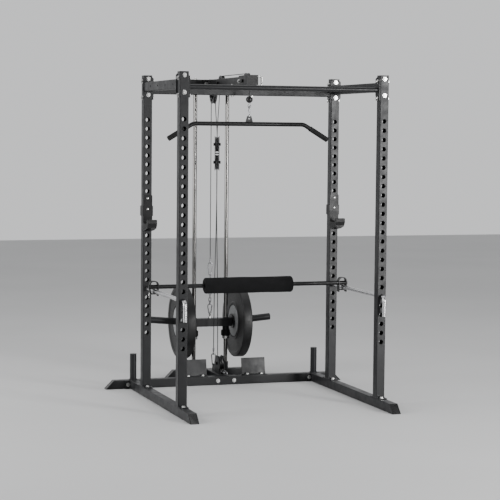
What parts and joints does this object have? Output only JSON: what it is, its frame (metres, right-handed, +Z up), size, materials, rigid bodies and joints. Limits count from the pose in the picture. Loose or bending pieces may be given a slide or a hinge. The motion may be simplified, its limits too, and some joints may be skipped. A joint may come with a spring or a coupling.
{
  "type": "power cage",
  "caption": "Free-standing power cage: hole-punched square-tube frame, pull-up bar, J-hooks, safety rods, leg roller and a plate-loaded lat tower behind.",
  "frame": {"origin": "on the floor, midway between the four uprights", "axes": "+Z up; the open front and the user's way in face -Y; the lat tower stands behind at +Y; +X is to the right seen from the front"},
  "size_m": [1.488, 1.823, 1.8604],
  "materials": {
    "frame_paint": "satin charcoal powder coat",
    "black_paint": "satin black",
    "black_plastic": "fine grain",
    "zinc_steel": "bright zinc",
    "chrome": "polished",
    "rubber": "matte",
    "foam": "matte foam sleeve"
  },
  "bodies": {
    "cage": {"front_upright_left": "frame_paint", "front_upright_right": "frame_paint", "rear_upright_left": "frame_paint", "rear_upright_right": "frame_paint", "base_tube_left": "frame_paint", "base_tube_right": "frame_paint", "rear_crossmember": "frame_paint", "side_beam_left": "frame_paint", "side_beam_right": "frame_paint", "pull_up_bar": "frame_paint", "rear_top_beam": "frame_paint", "storage_pegs": "frame_paint", "upright_feet": "frame_paint", "tower_base": "frame_paint", "foot_plates": "frame_paint", "low_pulley_bracket": "frame_paint", "pulley_axles": "black_paint", "boom": "black_paint", "tower_top_beam": "black_paint", "pulley_housing": "black_paint", "hanging_bracket": "black_paint", "block_plates": "black_paint", "upright_caps": "black_plastic", "base_end_caps": "black_plastic", "low_ball_stop": "black_plastic", "cable_main": "black_plastic", "cable_low": "black_plastic", "frame_bolts": "zinc_steel", "low_carabiners": "zinc_steel", "stop_collars": "zinc_steel", "bar_rest": "zinc_steel", "guide_rods": "chrome", "rubber_stops": "rubber"},
    "weight_carriage": {"carriage": "frame_paint", "carriage_bushings": "black_plastic", "lift_eye": "zinc_steel", "lift_chain": "zinc_steel", "cable_end_fitting": "zinc_steel", "cable_carriage_strand": "black_plastic"},
    "lat_cable_end": {"lat_ball_stop": "black_plastic", "cable_lat_strand": "black_plastic"},
    "lat_pulldown_bar": {"lat_bar": "black_paint", "lat_bar_grips": "rubber", "lat_carabiner": "zinc_steel"},
    "front_pulley_body": {"boom_front_pulley": "black_plastic"},
    "rear_pulley_body": {"boom_rear_pulley": "black_plastic"},
    "hanging_pulley_body": {"hanging_pulley": "black_plastic"},
    "block_upper_body": {"block_upper_pulley": "black_plastic"},
    "block_lower_body": {"block_lower_pulley": "black_plastic"},
    "low_pulley_body": {"low_pulley": "black_plastic"},
    "plate_left_body": {"weight_plate_left": "rubber"},
    "plate_right_body": {"weight_plate_right": "rubber"},
    "hook_left_body": {"jhook_left": "black_paint", "jhook_liner_left": "black_plastic"},
    "hook_right_body": {"jhook_right": "black_paint", "jhook_liner_right": "black_plastic"},
    "safety_left_body": {"safety_rod_left": "chrome"},
    "safety_right_body": {"safety_rod_right": "chrome"},
    "roller_body": {"roller_bar": "black_paint"},
    "foam_body": {"foam_roller": "foam"}
  },
  "joints": [
    {"name": "carriage_slide", "type": "slide", "parent": "cage", "child": "weight_carriage", "axis": [0, 0, 1], "range_m": [0, 0.7], "deforming": ["cable_carriage_strand"]},
    {"name": "lat_cable_slide", "type": "slide", "parent": "cage", "child": "lat_cable_end", "axis": [0, 0, -1], "range_m": [0, 0.7], "deforming": ["cable_lat_strand"]},
    {"name": "lat_bar_swivel", "type": "hinge", "parent": "lat_cable_end", "child": "lat_pulldown_bar", "pos_m": [0, 0.235, 1.64], "axis": [0, 0, 1], "continuous": true},
    {"name": "front_pulley_spin", "type": "hinge", "parent": "cage", "child": "front_pulley_body", "pos_m": [0, 0.277, 1.8144], "axis": [1, 0, 0], "range_deg": [0, 955.5]},
    {"name": "rear_pulley_spin", "type": "hinge", "parent": "cage", "child": "rear_pulley_body", "pos_m": [0, 0.762, 1.8144], "axis": [1, 0, 0], "range_deg": [0, 955.5]},
    {"name": "hanging_pulley_spin", "type": "hinge", "parent": "cage", "child": "hanging_pulley_body", "pos_m": [0, 0.93, 1.739], "axis": [1, 0, 0], "range_deg": [0, 955.5]},
    {"name": "block_upper_spin", "type": "hinge", "parent": "cage", "child": "block_upper_body", "pos_m": [0, 0.846, 1.445], "axis": [0.9478, -0.319, 0], "range_deg": [-955.5, 0]},
    {"name": "block_lower_spin", "type": "hinge", "parent": "cage", "child": "block_lower_body", "pos_m": [0, 0.846, 1.336], "axis": [0.9478, -0.319, 0], "continuous": true},
    {"name": "low_pulley_spin", "type": "hinge", "parent": "cage", "child": "low_pulley_body", "pos_m": [0, 0.762, 0.112], "axis": [1, 0, 0], "continuous": true},
    {"name": "plate_left_slide", "type": "slide", "parent": "weight_carriage", "child": "plate_left_body", "axis": [-0.9962, 0, 0.0872], "range_m": [0, 0.25]},
    {"name": "hook_left_slide", "type": "slide", "parent": "cage", "child": "hook_left_body", "axis": [0, -1, 0], "range_m": [0, 0.075]},
    {"name": "safety_left_slide", "type": "slide", "parent": "cage", "child": "safety_left_body", "axis": [0, -1, 0], "range_m": [0, 0.78]},
    {"name": "plate_right_slide", "type": "slide", "parent": "weight_carriage", "child": "plate_right_body", "axis": [0.9962, 0, 0.0872], "range_m": [0, 0.25]},
    {"name": "hook_right_slide", "type": "slide", "parent": "cage", "child": "hook_right_body", "axis": [0, -1, 0], "range_m": [0, 0.075]},
    {"name": "safety_right_slide", "type": "slide", "parent": "cage", "child": "safety_right_body", "axis": [0, -1, 0], "range_m": [0, 0.78]},
    {"name": "roller_slide", "type": "slide", "parent": "cage", "child": "roller_body", "axis": [0, 1, 0], "range_m": [-0.5, 0.11]},
    {"name": "foam_spin", "type": "hinge", "parent": "roller_body", "child": "foam_body", "pos_m": [-0.008, 0.2, 0.6437], "axis": [1, 0, 0], "continuous": true}
  ],
  "couplings": [
    {"joint": "lat_cable_slide", "follows": "carriage_slide", "ratio": 1},
    {"joint": "front_pulley_spin", "follows": "carriage_slide", "rad_per_m": 23.81},
    {"joint": "rear_pulley_spin", "follows": "carriage_slide", "rad_per_m": 23.81},
    {"joint": "hanging_pulley_spin", "follows": "carriage_slide", "rad_per_m": 23.81},
    {"joint": "block_upper_spin", "follows": "carriage_slide", "rad_per_m": -23.81}
  ]
}
